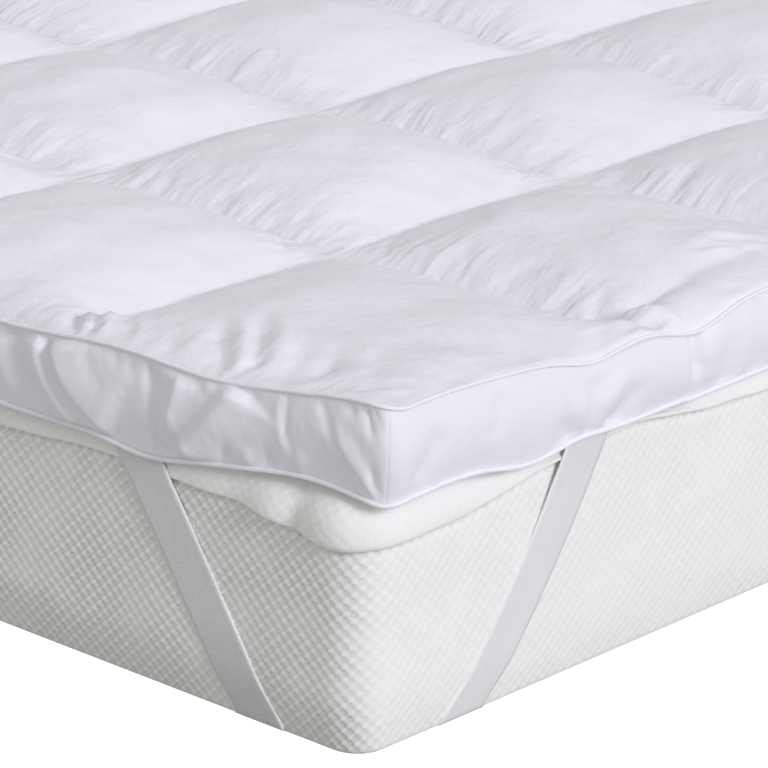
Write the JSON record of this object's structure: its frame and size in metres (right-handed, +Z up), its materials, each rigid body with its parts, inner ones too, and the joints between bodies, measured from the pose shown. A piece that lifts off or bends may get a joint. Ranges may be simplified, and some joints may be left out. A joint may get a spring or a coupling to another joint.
{
  "type": "mattress topper on a mattress",
  "caption": "Filled, box-quilted mattress topper with a side band, piped edges and elastic corner straps, held on the mattress that it covers.",
  "frame": {"origin": "the middle of the mattress's underside, on the surface that it lies on", "axes": "+Z up, +Y along the bed's length, +X across it"},
  "size_m": [1.3797, 1.9234, 0.2558],
  "materials": {
    "mattress_knit": "off-white knitted cover with small raised dimples",
    "topper_cotton": "white down-proof cotton, closely woven with a slight sheen",
    "piping_cotton": "white cotton over a cord, slight sheen",
    "strap_elastic": "pale grey flat elastic with woven edges"
  },
  "bodies": {
    "root": {"mattress": "mattress_knit", "topper": "topper_cotton", "piping_upper": "piping_cotton", "piping_lower": "piping_cotton", "strap_front_right": "strap_elastic", "strap_back_right": "strap_elastic", "strap_back_left": "strap_elastic", "strap_front_left": "strap_elastic"}
  },
  "joints": []
}
